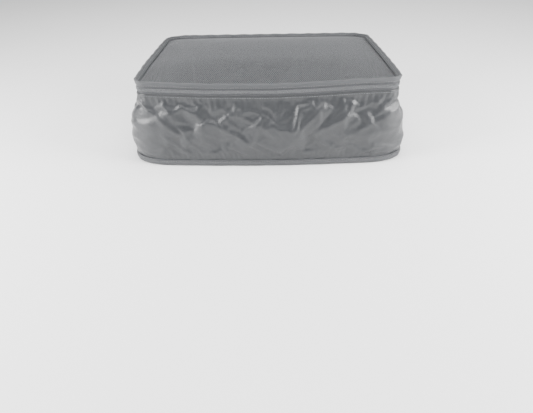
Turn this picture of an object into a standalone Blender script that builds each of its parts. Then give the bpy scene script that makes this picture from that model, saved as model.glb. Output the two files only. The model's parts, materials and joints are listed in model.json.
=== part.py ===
"""A soft zip-top packing cube: sewn nylon walls and base, a see-through mesh lid on a fabric hinge,
bound edges, and a coil zip with two sliders that meet on the right-hand side.

Metres, +Z up. X runs along the long sides, and the front is at -Y. The origin is on the surface
that the cube stands on, at the middle of the base. Fabric is drawn thicker than it is, so that each
sewn piece is a solid of its own, and pieces that touch keep a gap of GAP.
"""

import math

import bmesh
import bpy

MM = 0.001

# Overall sizes
RIM_WIDTH = 324 * MM  # across the lid, over the binding
RIM_DEPTH = 236 * MM
HEIGHT = 112 * MM  # to the top of the lid's binding
RIM_RADIUS = 14 * MM  # plan radius of the lid's corners
BASE_RADIUS = 38 * MM  # plan radius of the base's corners
FLARE_SIDE = 9 * MM  # how much further out the base is than the rim, at each short side
FLARE_FRONT = 4 * MM  # the same at the front and the back
BULGE = 5 * MM  # how far the middle of a wall stands out
CORNER_BULGE = 0.55  # share of the bulge that is left at a corner
LID_CROWN = 9 * MM  # how far the middle of the mesh stands above its edge

# Fabric and tape
GAP = 0.3 * MM
PANEL = 1.2 * MM  # nylon with its seam allowance
MESH = 0.8 * MM
TAPE = 0.8 * MM
BINDING = 0.9 * MM  # one layer of the bias binding
BASE_BINDING_HEIGHT = 8 * MM
LID_BINDING_HEIGHT = 7 * MM
SEAM_BINDING_WIDTH = 8 * MM
SEAM_BINDING = 1.5 * MM

# Zip, measured down from the top of the lid's binding
CHAIN_DROP = 11 * MM  # to the middle of the coils
HEM_DROP = 16.5 * MM  # to the folded top edge of the wall
TAPE_DROP = 23 * MM  # to the hidden lower edge of the lower tape
CHAIN_GAP = 1.4 * MM  # room between the two coils for a slider's post
COIL_HEIGHT = 1.5 * MM
COIL_DEPTH = 1.3 * MM
SEAM_INSET = 3 * MM  # from the end of the corner's curve to the seam of gusset and back wall
END_TAB_LENGTH = 12 * MM

# Sliders and pulls
SLIDER_LENGTH = 11 * MM
SLIDER_WIDTH = 7.8 * MM
SLIDER_PLATE = 1.0 * MM
SLIDER_PLAY = 0.25 * MM
SLIDER_FLANGE = 1.2 * MM
SLIDER_POST = 0.8 * MM
SLIDER_POST_LENGTH = 2.0 * MM
SLIDER_TAPER = 0.62  # width of a slider's tail over its width at the nose
SLIDERS_MEET = 30 * MM  # how far behind the middle of the right-hand side the two noses meet
NOSE_GAP = 1.5 * MM
BRIDGE_SPAN = 7.4 * MM
BRIDGE_WIDTH = 1.6 * MM
BRIDGE_THICKNESS = 0.9 * MM
BRIDGE_ROOM = 1.8 * MM  # free height under the bridge
PULL_LOOP_INNER = 1.1 * MM
PULL_LOOP_OUTER = 2.05 * MM
PULL_LOOP_WIDTH = 2.6 * MM
PULL_LENGTH = 20 * MM
PULL_WIDTH = 5.5 * MM
PULL_THICKNESS = 2.0 * MM

# Hinge of the lid, at the sewn edge of the back wall
HINGE_OFFSET = 2 * MM  # behind the rim, so that the binding can turn past the wall
HINGE_GAP = 0.6 * MM

# Fineness
CORNER_STEPS = 7
LONG_STEPS = 10
SHORT_STEPS = 8
WALL_STEPS = 9
LID_RINGS = 6
ROUND_STEPS = 20

# Heights that follow
LID_BINDING_BOTTOM = HEIGHT - LID_BINDING_HEIGHT
CHAIN_Z = HEIGHT - CHAIN_DROP
HEM_Z = HEIGHT - HEM_DROP
TAPE_BOTTOM = HEIGHT - TAPE_DROP
WALL_BOTTOM = BINDING + GAP
BACK_TOP = LID_BINDING_BOTTOM - HINGE_GAP / 2
MESH_EDGE_Z = LID_BINDING_BOTTOM + GAP + MESH / 2

# Offsets outwards from the rim outline that follow
TAPE_OFFSET = -(BINDING + GAP + TAPE / 2)  # middle of both zip tapes
MESH_OFFSET = TAPE_OFFSET - TAPE / 2 - GAP - MESH / 2  # middle of the mesh's turned-up edge
LID_BINDING_INNER = MESH_OFFSET - MESH / 2 - GAP - BINDING
COIL_INNER = TAPE_OFFSET + TAPE / 2 + GAP
COIL_OUTER = COIL_INNER + COIL_DEPTH
HEM_OFFSET = TAPE_OFFSET + TAPE / 2 + GAP + PANEL / 2  # middle of the wall along the zip

FABRICS = {
    "nylon": ((0.17, 0.175, 0.185, 1), 0.42, 0.0),
    "binding": ((0.19, 0.195, 0.205, 1), 0.7, 0.0),
    "mesh": ((0.22, 0.225, 0.235, 1), 0.8, 0.0),
    "zip_tape": ((0.17, 0.175, 0.185, 1), 0.8, 0.0),
    "zip_coil": ((0.2, 0.205, 0.215, 1), 0.35, 0.0),
    "slider_metal": ((0.12, 0.12, 0.125, 1), 0.35, 0.9),
    "pull_rubber": ((0.1, 0.1, 0.105, 1), 0.6, 0.0),
}


def material(name):
    """The named Principled material, made the first time that it is asked for."""
    if name in bpy.data.materials:
        return bpy.data.materials[name]
    colour, roughness, metallic = FABRICS[name]
    made = bpy.data.materials.new(name)
    made.use_nodes = True
    shader = made.node_tree.nodes["Principled BSDF"]
    shader.inputs["Base Color"].default_value = colour
    shader.inputs["Roughness"].default_value = roughness
    shader.inputs["Metallic"].default_value = metallic
    return made


def add_object(name, bm, material_name, parent=None, smooth=True):
    """Turns a bmesh into a linked object with its material."""
    bmesh.ops.recalc_face_normals(bm, faces=bm.faces)
    mesh = bpy.data.meshes.new(name)
    bm.to_mesh(mesh)
    bm.free()
    if smooth:
        mesh.shade_smooth()
        mesh.set_sharp_from_angle(angle=math.radians(40))
    mesh.materials.append(material(material_name))
    obj = bpy.data.objects.new(name, mesh)
    bpy.context.scene.collection.objects.link(obj)
    obj.parent = parent
    return obj


def seam_x():
    """How far from the middle the two vertical seams of the back wall are."""
    rim_straight = RIM_WIDTH / 2 - RIM_RADIUS
    base_straight = RIM_WIDTH / 2 + FLARE_SIDE - BASE_RADIUS
    return min(rim_straight, base_straight) - SEAM_INSET


def between(a, b, steps):
    """The points strictly between a and b that cut the line into equal steps."""
    return [tuple(p + (q - p) * i / steps for p, q in zip(a, b)) for i in range(1, steps)]


def gusset_plan(half_width, half_depth, radius, inset=0.0):
    """Plan points (x, y, normal angle in degrees, share along its side) of a rounded rectangle,
    anticlockwise from the left back seam round the front to the right back seam."""
    x, y = half_width - radius, half_depth - radius
    start = seam_x() + inset
    path = [(-start, half_depth, 90.0, 0.0)]
    corners = [(-x, y, 90.0), (-x, -y, 180.0), (x, -y, 270.0), (x, y, 360.0)]
    steps = [SHORT_STEPS, LONG_STEPS, SHORT_STEPS, None]
    for (cx, cy, first), side_steps in zip(corners, steps):
        for i in range(CORNER_STEPS + 1):
            angle = first + 90 * i / CORNER_STEPS
            turn = math.radians(angle)
            path.append((cx + radius * math.cos(turn), cy + radius * math.sin(turn), angle, 0.0))
        if side_steps:
            next_x, next_y, _ = corners[corners.index((cx, cy, first)) + 1]
            turn = math.radians(first + 90)
            end = (next_x + radius * math.cos(turn), next_y + radius * math.sin(turn))
            middle = between((path[-1][0], path[-1][1], 0.0), (*end, 1.0), side_steps)
            path += [(px, py, first + 90, share) for px, py, share in middle]
    path.append((start, half_depth, 450.0, 0.0))
    return path


def back_plan(half_depth, inset=0.0):
    """Plan points of the back wall, from the right back seam to the left one."""
    end = seam_x() - inset
    middle = between((end, half_depth, 0.0), (-end, half_depth, 1.0), LONG_STEPS)
    inner = [(x, y, 90.0, share) for x, y, share in middle]
    return [(end, half_depth, 90.0, 0.0), *inner, (-end, half_depth, 90.0, 1.0)]


def rim_plan(inset=0.0):
    return gusset_plan(RIM_WIDTH / 2, RIM_DEPTH / 2, RIM_RADIUS, inset)


def base_plan(inset=0.0):
    return gusset_plan(
        RIM_WIDTH / 2 + FLARE_SIDE, RIM_DEPTH / 2 + FLARE_FRONT, BASE_RADIUS, inset
    )


def moved_out(point, offset):
    """A plan point moved outwards along its normal, as (x, y)."""
    turn = math.radians(point[2])
    return point[0] + offset * math.cos(turn), point[1] + offset * math.sin(turn)


def wall_share(z):
    """0 at the base outline and 1 at the rim outline: straight where the binding and zip are."""
    low, high = BASE_BINDING_HEIGHT + GAP, TAPE_BOTTOM
    return min(1.0, max(0.0, (z - low) / (high - low)))


def bulge_at(z, share):
    """How far a wall stands out at a height and at a share of the way along its side."""
    rise = wall_share(z)
    along = CORNER_BULGE + (1 - CORNER_BULGE) * math.sin(math.pi * share)
    return BULGE * along * math.sin(math.pi * rise) ** 0.8


def wall_point(base, rim, z, offset=0.0):
    """A point of a wall's middle surface, between its base and rim plan points."""
    k = wall_share(z)
    x = base[0] + (rim[0] - base[0]) * k
    y = base[1] + (rim[1] - base[1]) * k
    out = offset + HEM_OFFSET * k + bulge_at(z, rim[3])
    turn = math.radians(rim[2])
    return x + out * math.cos(turn), y + out * math.sin(turn), z


def wall_levels(bottom, top):
    """Heights of a wall's rows: its ends, and even steps between its two straight bands."""
    low, high = BASE_BINDING_HEIGHT + GAP, TAPE_BOTTOM
    rows = [low + (high - low) * i / WALL_STEPS for i in range(WALL_STEPS + 1)]
    return [bottom, *rows, top]


def sheet(name, rows, thickness, material_name, parent=None):
    """A fabric piece: a grid of points, given its thickness by Solidify about its middle."""
    bm = bmesh.new()
    grid = [[bm.verts.new(point) for point in row] for row in rows]
    for lower, upper in zip(grid, grid[1:]):
        for i in range(len(lower) - 1):
            bm.faces.new((lower[i], lower[i + 1], upper[i + 1], upper[i]))
    obj = add_object(name, bm, material_name, parent)
    solidify = obj.modifiers.new("thickness", "SOLIDIFY")
    solidify.thickness = thickness
    solidify.offset = 0.0
    solidify.use_even_offset = True
    return obj


def swept(name, section, path, material_name, closed, parent=None):
    """A section of (offset outwards, height) points carried along a plan path."""
    bm = bmesh.new()
    loops = []
    for point in path:
        loops.append([bm.verts.new((*moved_out(point, out), z)) for out, z in section])
    pairs = list(zip(loops, loops[1:]))
    if closed:
        pairs.append((loops[-1], loops[0]))
    else:
        bm.faces.new(loops[0])
        bm.faces.new(loops[-1])
    count = len(section)
    for a, b in pairs:
        for i in range(count):
            j = (i + 1) % count
            bm.faces.new((a[i], a[j], b[j], b[i]))
    return add_object(name, bm, material_name, parent)


def channel(inner, outer, low, high, wall, opens_down, short_inner=0.0):
    """The outline of a folded binding: two legs and the fold that joins them."""
    if opens_down:
        return [
            (outer, low),
            (outer, high),
            (inner, high),
            (inner, low + short_inner),
            (inner + wall, low + short_inner),
            (inner + wall, high - wall),
            (outer - wall, high - wall),
            (outer - wall, low),
        ]
    return [
        (outer, high),
        (outer, low),
        (inner, low),
        (inner, high),
        (inner + wall, high),
        (inner + wall, low + wall),
        (outer - wall, low + wall),
        (outer - wall, high),
    ]


def box(name, low, high, material_name, parent=None):
    """A block between two corners."""
    bm = bmesh.new()
    bmesh.ops.create_cube(bm, size=1.0)
    size = [b - a for a, b in zip(low, high)]
    middle = [(a + b) / 2 for a, b in zip(low, high)]
    bmesh.ops.scale(bm, vec=size, verts=bm.verts)
    bmesh.ops.translate(bm, vec=middle, verts=bm.verts)
    return add_object(name, bm, material_name, parent, smooth=False)


def prism(name, outline, low, high, axis, material_name, parent=None):
    """A flat outline extruded between two values of one axis. The outline's pairs are the other
    two axes in X, Y, Z order."""
    bm = bmesh.new()
    loops = []
    for level in (low, high):
        points = [list(pair) for pair in outline]
        for point in points:
            point.insert("xyz".index(axis), level)
        loops.append([bm.verts.new(point) for point in points])
    bm.faces.new(loops[0])
    bm.faces.new(loops[1])
    count = len(outline)
    for i in range(count):
        j = (i + 1) % count
        bm.faces.new((loops[0][i], loops[0][j], loops[1][j], loops[1][i]))
    return add_object(name, bm, material_name, parent)


def joined(main, others):
    """Joins helpers to main with Boolean unions, and hides them."""
    for number, other in enumerate(others):
        union = main.modifiers.new(f"join{number}", "BOOLEAN")
        union.operation = "UNION"
        union.object = other
        other.hide_render = True
        other.display_type = "WIRE"
    return main


def empty(name, location, parent=None):
    made = bpy.data.objects.new(name, None)
    bpy.context.scene.collection.objects.link(made)
    made.location = location
    made.parent = parent
    return made


def make_base():
    """The base panel and the binding that joins it to the walls."""
    leg = PANEL / 2 + GAP + BINDING
    section = channel(-leg, leg, 0.0, BASE_BINDING_HEIGHT, BINDING, opens_down=False)
    half_depth = RIM_DEPTH / 2 + FLARE_FRONT
    loop = base_plan() + back_plan(half_depth)[1:-1]
    swept("base_binding", section, loop, "binding", closed=True)
    bm = bmesh.new()
    edge = [bm.verts.new((*moved_out(point, -leg - GAP), 0.0)) for point in loop]
    face = bm.faces.new(edge)
    lifted = bmesh.ops.extrude_face_region(bm, geom=[face])["geom"]
    top = [v for v in lifted if isinstance(v, bmesh.types.BMVert)]
    bmesh.ops.translate(bm, vec=(0, 0, PANEL), verts=top)
    add_object("base_panel", bm, "nylon", smooth=False)


def make_walls():
    """The long gusset round the front and sides, the back wall, and their two seams' bindings."""
    levels = wall_levels(WALL_BOTTOM, HEM_Z)
    stations = list(zip(base_plan(GAP / 2), rim_plan(GAP / 2)))
    rows = [[wall_point(base, rim, z) for base, rim in stations] for z in levels]
    sheet("side_gusset", rows, PANEL, "nylon")

    levels = wall_levels(WALL_BOTTOM, BACK_TOP)
    base_line = back_plan(RIM_DEPTH / 2 + FLARE_FRONT, GAP / 2)
    rim_line = back_plan(RIM_DEPTH / 2, GAP / 2)
    stations = list(zip(base_line, rim_line))
    rows = [[wall_point(base, rim, z) for base, rim in stations] for z in levels]
    sheet("back_wall", rows, PANEL, "nylon")

    inside = -(PANEL / 2 + GAP + SEAM_BINDING / 2)
    bottom = BASE_BINDING_HEIGHT + 2 * GAP
    top = TAPE_BOTTOM - GAP
    heights = [bottom + (top - bottom) * i / WALL_STEPS for i in range(WALL_STEPS + 1)]
    half = SEAM_BINDING_WIDTH / 2
    for side, sign in (("left", -1), ("right", 1)):
        ends = (sign * seam_x() - half, sign * seam_x() + half)
        rows = []
        for z in heights:
            row = []
            for x in ends:
                base = (x, RIM_DEPTH / 2 + FLARE_FRONT, 90.0, 0.0)
                rim = (x, RIM_DEPTH / 2, 90.0, 0.0)
                row.append(wall_point(base, rim, z, inside))
            rows.append(row)
        sheet(f"{side}_seam_binding", rows, SEAM_BINDING, "binding")


def coil_section(low):
    """A coil's outline: a flat back on the tape and a rounded face."""
    points = []
    for i in range(5):
        turn = math.radians(-90 + 180 * i / 4)
        out = COIL_INNER + COIL_DEPTH * (0.45 + 0.55 * math.cos(turn))
        points.append((out, low + COIL_HEIGHT / 2 * (1 + math.sin(turn))))
    return [(COIL_INNER, low), *points, (COIL_INNER, low + COIL_HEIGHT)]


def tape_section(low, high):
    half = TAPE / 2
    return [
        (TAPE_OFFSET + half, low),
        (TAPE_OFFSET + half, high),
        (TAPE_OFFSET - half, high),
        (TAPE_OFFSET - half, low),
    ]


def make_lower_zip():
    """The zip half that is sewn to the walls, and the tabs over the zip's two ends."""
    top = CHAIN_Z - CHAIN_GAP / 2
    path = rim_plan(GAP)
    swept("lower_zip_tape", tape_section(TAPE_BOTTOM, top), path, "zip_tape", closed=False)
    path = rim_plan(END_TAB_LENGTH + 2 * GAP)
    swept("lower_zip_coil", coil_section(top - COIL_HEIGHT), path, "zip_coil", closed=False)
    low = HEM_Z + GAP
    high = BACK_TOP - GAP
    for side, sign in (("left", -1), ("right", 1)):
        ends = sorted((sign * (seam_x() + GAP), sign * (seam_x() + END_TAB_LENGTH)))
        inner = RIM_DEPTH / 2 + HEM_OFFSET - PANEL / 2
        box(
            f"{side}_zip_end_tab",
            (ends[0], inner, low),
            (ends[1], inner + PANEL, high),
            "binding",
        )


def make_lid(lid):
    """The mesh, the binding round it, and the zip half that hangs from it."""
    loop = rim_plan() + back_plan(RIM_DEPTH / 2)[1:-1]
    mesh_pass = 2 * GAP + MESH  # the mesh runs under the inner leg and turns up inside
    section = channel(
        LID_BINDING_INNER, 0.0, LID_BINDING_BOTTOM, HEIGHT, BINDING, True, mesh_pass
    )
    swept("lid_binding", section, loop, "binding", closed=True, parent=lid)

    bm = bmesh.new()
    edge = [moved_out(point, MESH_OFFSET) for point in loop]
    turned_up = MESH_EDGE_Z + LID_BINDING_HEIGHT / 2
    rings = [[bm.verts.new((x, y, turned_up)) for x, y in edge]]
    for ring in range(LID_RINGS):
        scale = 1 - ring / LID_RINGS
        z = MESH_EDGE_Z + LID_CROWN * (1 - scale**2)
        rings.append([bm.verts.new((x * scale, y * scale, z)) for x, y in edge])
    middle = bm.verts.new((0.0, 0.0, MESH_EDGE_Z + LID_CROWN))
    for outer, inner in zip(rings, rings[1:]):
        for i in range(len(outer)):
            j = (i + 1) % len(outer)
            bm.faces.new((outer[i], outer[j], inner[j], inner[i]))
    for i in range(len(edge)):
        bm.faces.new((rings[-1][i], rings[-1][(i + 1) % len(edge)], middle))
    mesh = add_object("lid_mesh", bm, "mesh", lid)
    solidify = mesh.modifiers.new("thickness", "SOLIDIFY")
    solidify.thickness = MESH
    solidify.offset = 0.0
    solidify.use_even_offset = True

    low = CHAIN_Z + CHAIN_GAP / 2
    top = HEIGHT - BINDING - GAP
    path = rim_plan(GAP)
    swept("upper_zip_tape", tape_section(low, top), path, "zip_tape", closed=False, parent=lid)
    path = rim_plan(END_TAB_LENGTH + 2 * GAP)
    swept("upper_zip_coil", coil_section(low), path, "zip_coil", closed=False, parent=lid)


def slider_outline(nose, half_width):
    """A slider's plate seen from outside, as (y, z): wide at the nose and narrow at the tail."""
    tail = -nose * SLIDER_LENGTH / 2
    front = nose * SLIDER_LENGTH / 2
    narrow = half_width * SLIDER_TAPER
    waist = nose * SLIDER_LENGTH * 0.1
    return [
        (tail, -narrow),
        (waist, -half_width),
        (front * 0.8, -half_width),
        (front, -half_width * 0.7),
        (front, half_width * 0.7),
        (front * 0.8, half_width),
        (waist, half_width),
        (tail, narrow),
    ]


def make_slider(place, y, nose):
    """One slider with its bridge and its pull. nose is the side, +1 or -1 along Y, it points to."""
    rim = RIM_WIDTH / 2
    slider = empty(f"{place}_slider", (rim, y, CHAIN_Z))
    half = SLIDER_WIDTH / 2
    outer_low = COIL_OUTER + SLIDER_PLAY
    outer_high = outer_low + SLIDER_PLATE
    inner_high = TAPE_OFFSET - TAPE / 2 - GAP
    inner_low = inner_high - SLIDER_PLATE
    outline = slider_outline(nose, half)
    parts = f"{place}_slider"
    body = prism(f"{parts}_body", outline, outer_low, outer_high, "x", "slider_metal", slider)
    back = prism(f"{parts}_back", outline, inner_low, inner_high, "x", "slider_metal", slider)
    front = nose * SLIDER_LENGTH / 2
    ends = sorted((front, front - nose * SLIDER_POST_LENGTH))
    overlap = SLIDER_PLATE / 2
    post = box(
        f"{parts}_post",
        (inner_high - overlap, ends[0], -SLIDER_POST / 2),
        (outer_low + overlap, ends[1], SLIDER_POST / 2),
        "slider_metal",
        slider,
    )
    waist = nose * SLIDER_LENGTH * 0.1
    ends = sorted((waist, front * 0.8))
    flange = box(
        f"{parts}_flange",
        (COIL_INNER, ends[0], -half),
        (outer_low + overlap, ends[1], -half + SLIDER_FLANGE),
        "slider_metal",
        slider,
    )
    joined(body, [back, post, flange])

    foot = outer_high + GAP
    under = foot + BRIDGE_ROOM
    over = under + BRIDGE_THICKNESS
    end, inner_end = BRIDGE_SPAN / 2, BRIDGE_SPAN / 2 - BRIDGE_THICKNESS
    chamfer = BRIDGE_THICKNESS * 0.8
    arch = [
        (foot, -end),
        (over - chamfer, -end),
        (over, -end + chamfer),
        (over, end - chamfer),
        (over - chamfer, end),
        (foot, end),
        (foot, inner_end),
        (under, inner_end),
        (under, -inner_end),
        (foot, -inner_end),
    ]
    prism(
        f"{parts}_bridge", arch, -BRIDGE_WIDTH / 2, BRIDGE_WIDTH / 2, "z", "slider_metal", slider
    )
    make_pull(f"{place}_pull", slider, (under + over) / 2)


def pull_tilt(bar):
    """How far a pull leans out, so that its tip rests just clear of the bulging wall."""
    tip_z = CHAIN_Z - PULL_LENGTH
    side = (0.0, 0.0, 0.0, 0.5)
    base = (RIM_WIDTH / 2 + FLARE_SIDE, *side[1:])
    rim = (RIM_WIDTH / 2, *side[1:])
    wall = wall_point(base, rim, tip_z, PANEL / 2)[0] - RIM_WIDTH / 2
    reach = wall + GAP + PULL_THICKNESS / 2 - bar
    return math.asin(max(0.0, min(1.0, reach / PULL_LENGTH)))


def make_pull(name, slider, bar):
    """A moulded pull: a loop round the slider's bridge and a flat grip that hangs from it."""
    pivot = empty(f"{name}_pivot", (bar, 0.0, 0.0), slider)
    pivot.rotation_euler = (0.0, -pull_tilt(bar), 0.0)
    turns = [2 * math.pi * i / ROUND_STEPS for i in range(ROUND_STEPS)]
    ring = [(PULL_LOOP_OUTER * math.cos(a), PULL_LOOP_OUTER * math.sin(a)) for a in turns]
    hole = [(PULL_LOOP_INNER * math.cos(a), PULL_LOOP_INNER * math.sin(a)) for a in turns]
    half = PULL_LOOP_WIDTH / 2
    bm = bmesh.new()
    rings = []
    for radii, y in ((ring, -half), (ring, half), (hole, half), (hole, -half)):
        rings.append([bm.verts.new((x, y, z)) for x, z in radii])
    for a, b in zip(rings, rings[1:] + rings[:1]):
        for i in range(ROUND_STEPS):
            j = (i + 1) % ROUND_STEPS
            bm.faces.new((a[i], a[j], b[j], b[i]))
    loop = add_object(name, bm, "pull_rubber", pivot)
    neck_top = -(PULL_LOOP_INNER + PULL_LOOP_OUTER) / 2
    wide = PULL_WIDTH / 2
    outline = [
        (-half, neck_top),
        (-half, -PULL_LENGTH * 0.25),
        (-wide, -PULL_LENGTH * 0.4),
        (-wide, -PULL_LENGTH * 0.93),
        (-wide * 0.7, -PULL_LENGTH),
        (wide * 0.7, -PULL_LENGTH),
        (wide, -PULL_LENGTH * 0.93),
        (wide, -PULL_LENGTH * 0.4),
        (half, -PULL_LENGTH * 0.25),
        (half, neck_top),
    ]
    thick = PULL_THICKNESS / 2
    grip = prism(f"{name}_grip", outline, -thick, thick, "x", "pull_rubber", pivot)
    joined(loop, [grip])


def main():
    for obj in list(bpy.data.objects):
        bpy.data.objects.remove(obj)
    hinge = (0.0, RIM_DEPTH / 2 + HINGE_OFFSET, LID_BINDING_BOTTOM)
    lid = empty("lid_hinge", hinge)
    lid_frame = empty("lid_parts", [-value for value in hinge], lid)
    make_base()
    make_walls()
    make_lower_zip()
    make_lid(lid_frame)
    reach = NOSE_GAP / 2 + SLIDER_LENGTH / 2
    make_slider("front", SLIDERS_MEET - reach, nose=1)
    make_slider("rear", SLIDERS_MEET + reach, nose=-1)


main()
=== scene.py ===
"""Looks for the packing cube: sewn nylon walls with the wrinkles of a packed cube, ribbed bindings,
a coil zip, sewing thread, a net of fine strands for the lid, materials, lights, floor and camera.

Everything is in metres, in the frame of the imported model: the cube stands on z = 0, and its front is at -Y.
"""

import json
import math

import bmesh
import bpy
import numpy as np
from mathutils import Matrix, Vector, noise


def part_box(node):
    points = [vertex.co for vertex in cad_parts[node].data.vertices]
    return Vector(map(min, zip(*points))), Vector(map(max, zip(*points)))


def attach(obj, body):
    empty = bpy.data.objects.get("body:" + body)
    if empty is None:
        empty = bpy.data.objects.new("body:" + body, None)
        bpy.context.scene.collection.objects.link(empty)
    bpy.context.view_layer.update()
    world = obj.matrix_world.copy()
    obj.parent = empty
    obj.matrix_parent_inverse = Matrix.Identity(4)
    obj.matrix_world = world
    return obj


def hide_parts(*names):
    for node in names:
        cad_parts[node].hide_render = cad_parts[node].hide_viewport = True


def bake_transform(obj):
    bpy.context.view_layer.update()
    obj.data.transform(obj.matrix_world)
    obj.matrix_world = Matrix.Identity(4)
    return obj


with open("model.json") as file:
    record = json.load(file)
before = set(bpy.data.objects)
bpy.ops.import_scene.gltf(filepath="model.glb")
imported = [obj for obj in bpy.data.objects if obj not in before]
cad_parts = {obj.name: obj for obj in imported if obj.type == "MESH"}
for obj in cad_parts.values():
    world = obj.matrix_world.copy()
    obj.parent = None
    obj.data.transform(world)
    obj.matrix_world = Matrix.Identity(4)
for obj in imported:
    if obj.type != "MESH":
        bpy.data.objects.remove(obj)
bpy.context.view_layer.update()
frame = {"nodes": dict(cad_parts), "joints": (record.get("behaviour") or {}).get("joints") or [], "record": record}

MM = 0.001

# Places read from the frame
RIM_LOW, RIM_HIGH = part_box("lid_binding")
BASE_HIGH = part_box("base_binding")[1]
HEM_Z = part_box("side_gusset")[1].z
BACK_TOP_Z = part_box("back_wall")[1].z
TAPE_BOTTOM_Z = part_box("lower_zip_tape")[0].z
LOWER_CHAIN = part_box("lower_zip_coil")
UPPER_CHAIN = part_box("upper_zip_coil")
CHAIN_Z = (LOWER_CHAIN[1].z + UPPER_CHAIN[0].z) / 2
SEAM_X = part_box("back_wall")[1].x
TAB_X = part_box("right_zip_end_tab")[1].x
MESH_EDGE_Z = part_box("lid_mesh")[0].z
HINGE = Vector(next(j["pos_m"] for j in frame["joints"] if j["name"] == "lid_hinge"))

STITCH_LINE_Z = HEM_Z - 2.2 * MM

# Plan of the sewn shape
RIM_RADIUS = 14 * MM
BASE_RADIUS = 38 * MM
BASE_LEG = 1.8 * MM  # from the wall's middle to the outside of the base binding
RIM_HALF = (RIM_HIGH.x, RIM_HIGH.y)
BASE_HALF = (BASE_HIGH.x - BASE_LEG, BASE_HIGH.y - BASE_LEG)
BASE_BAND_Z = BASE_HIGH.z
BULGE = 5 * MM
CORNER_BULGE = 0.55
LID_CROWN = 9 * MM

# How the soft front, sides and back corners differ from the straight solids
FRONT_BOW = 7 * MM
RIM_SAG = 4 * MM
SAG_MIDDLE = -22 * MM
LEFT_BOW = 1.5 * MM
LEFT_SAG = 1.5 * MM
RIM_WAVE = 0.7 * MM
BACK_CORNER_START = 97 * MM
BACK_CORNER_PULL = 8 * MM
BACK_CORNER_PULL_Y = 0.4  # share of the pull that also goes forwards
SIDE_SPREAD = 6 * MM
SPREAD_START = SEAM_X + 8 * MM
SPREAD_EASE = 28 * MM
LEFT_SPREAD_TOP = 98 * MM
RIGHT_SPREAD_TOP = 84 * MM  # below the hanging pulls

# Cloth
WALL_STEP = 2.6 * MM
WALL_THICKNESS = 0.5 * MM
WALL_FOOT = 3 * MM  # where the walls start, inside the base binding
WALL_GROWTH = -0.035  # the cloth's shrink factor: negative lets it grow
SIM_FRAMES = 26
SIM_MOST_MOVE = 4.5 * MM
FREE_START = 1 * MM  # how far from its sewn edges the cloth starts to be free
FREE_EASE = 4 * MM


def smooth(t):
    """0 below 0, 1 above 1 and a smooth step between."""
    t = np.clip(t, 0.0, 1.0)
    return t * t * (3 - 2 * t)


# ---------------------------------------------------------------- plan and walls


def segments(half, radius):
    """The outline's lines and arcs, from the left back seam round the front to the right one, and
    last the line that closes it along the back."""
    hx, hy = half
    x, y = hx - radius, hy - radius
    return [
        ("line", (-SEAM_X, hy), (-x, hy), 90),
        ("arc", (-x, y), radius, 90),
        ("line", (-hx, y), (-hx, -y), 180),
        ("arc", (-x, -y), radius, 180),
        ("line", (-x, -hy), (x, -hy), 270),
        ("arc", (x, -y), radius, 270),
        ("line", (hx, -y), (hx, y), 360),
        ("arc", (x, y), radius, 360),
        ("line", (x, hy), (SEAM_X, hy), 450),
        ("line", (SEAM_X, hy), (-SEAM_X, hy), 450),
    ]


def plan(half, radius, step, closed=False, back_only=False):
    """Points (n, 2), outward normals (n, 2) and the share along its side of each point. Outlines of
    any size get the same number of points for one step."""
    chosen = segments(half, radius)
    chosen = chosen[9:] if back_only else chosen[: 10 if closed else 9]
    lengths = [14, 40, 200, 40, 285, 40, 200, 40, 14, 250]
    lengths = lengths[9:] if back_only else lengths
    points, normals, shares = [], [], []
    for (kind, a, b, angle), length in zip(chosen, lengths):
        count = max(2, round(length * MM / step))
        for i in range(count):
            t = i / count
            if kind == "line":
                turn = math.radians(angle)
                points.append((a[0] + (b[0] - a[0]) * t, a[1] + (b[1] - a[1]) * t))
                shares.append(t if length > 100 else 0.0)
            else:
                turn = math.radians(angle + 90 * t)
                points.append((a[0] + b * math.cos(turn), a[1] + b * math.sin(turn)))
                shares.append(0.0)
            normals.append((math.cos(turn), math.sin(turn)))
    if not closed:
        last = chosen[-1]
        points.append(last[2])
        normals.append((0.0, 1.0))
        shares.append(0.0)
    return np.array(points), np.array(normals), np.array(shares)


def lengths_along(points, closed=False):
    """The distance of each point along its path."""
    ends = np.roll(points, -1, 0) if closed else points[1:]
    starts = points if closed else points[:-1]
    return np.concatenate([[0.0], np.cumsum(np.linalg.norm(ends - starts, axis=1))])


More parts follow.
